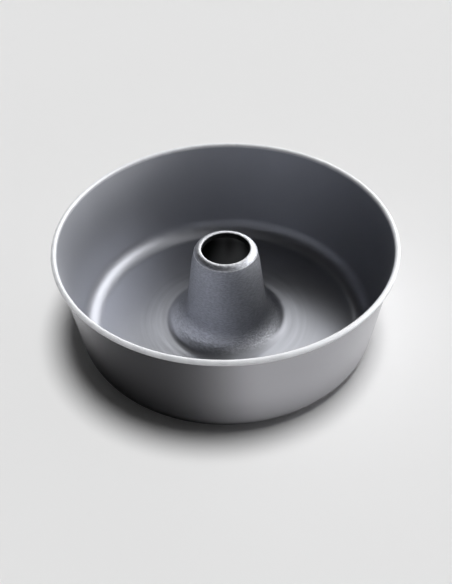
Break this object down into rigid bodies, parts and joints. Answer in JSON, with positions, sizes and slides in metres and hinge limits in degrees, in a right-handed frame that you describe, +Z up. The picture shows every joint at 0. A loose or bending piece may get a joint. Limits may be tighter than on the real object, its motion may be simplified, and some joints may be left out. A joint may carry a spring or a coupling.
{
  "type": "ring cake tin",
  "caption": "Round ring cake tin in pressed sheet, with a flared wall, a rolled rim bead, a rounded floor corner and a hollow tapered tube on a softly flared foot.",
  "frame": {"origin": "centre of the underside, on the surface that the tin stands on", "axes": "+Z up through the tube, along the axis that the whole tin is round about; X and Y are alike"},
  "size_m": [0.24, 0.24, 0.0814],
  "materials": {
    "coated_sheet": "satin dark grey bakeware coating on pressed sheet steel"
  },
  "bodies": {
    "root": {"ring_tin": "coated_sheet"}
  },
  "joints": []
}
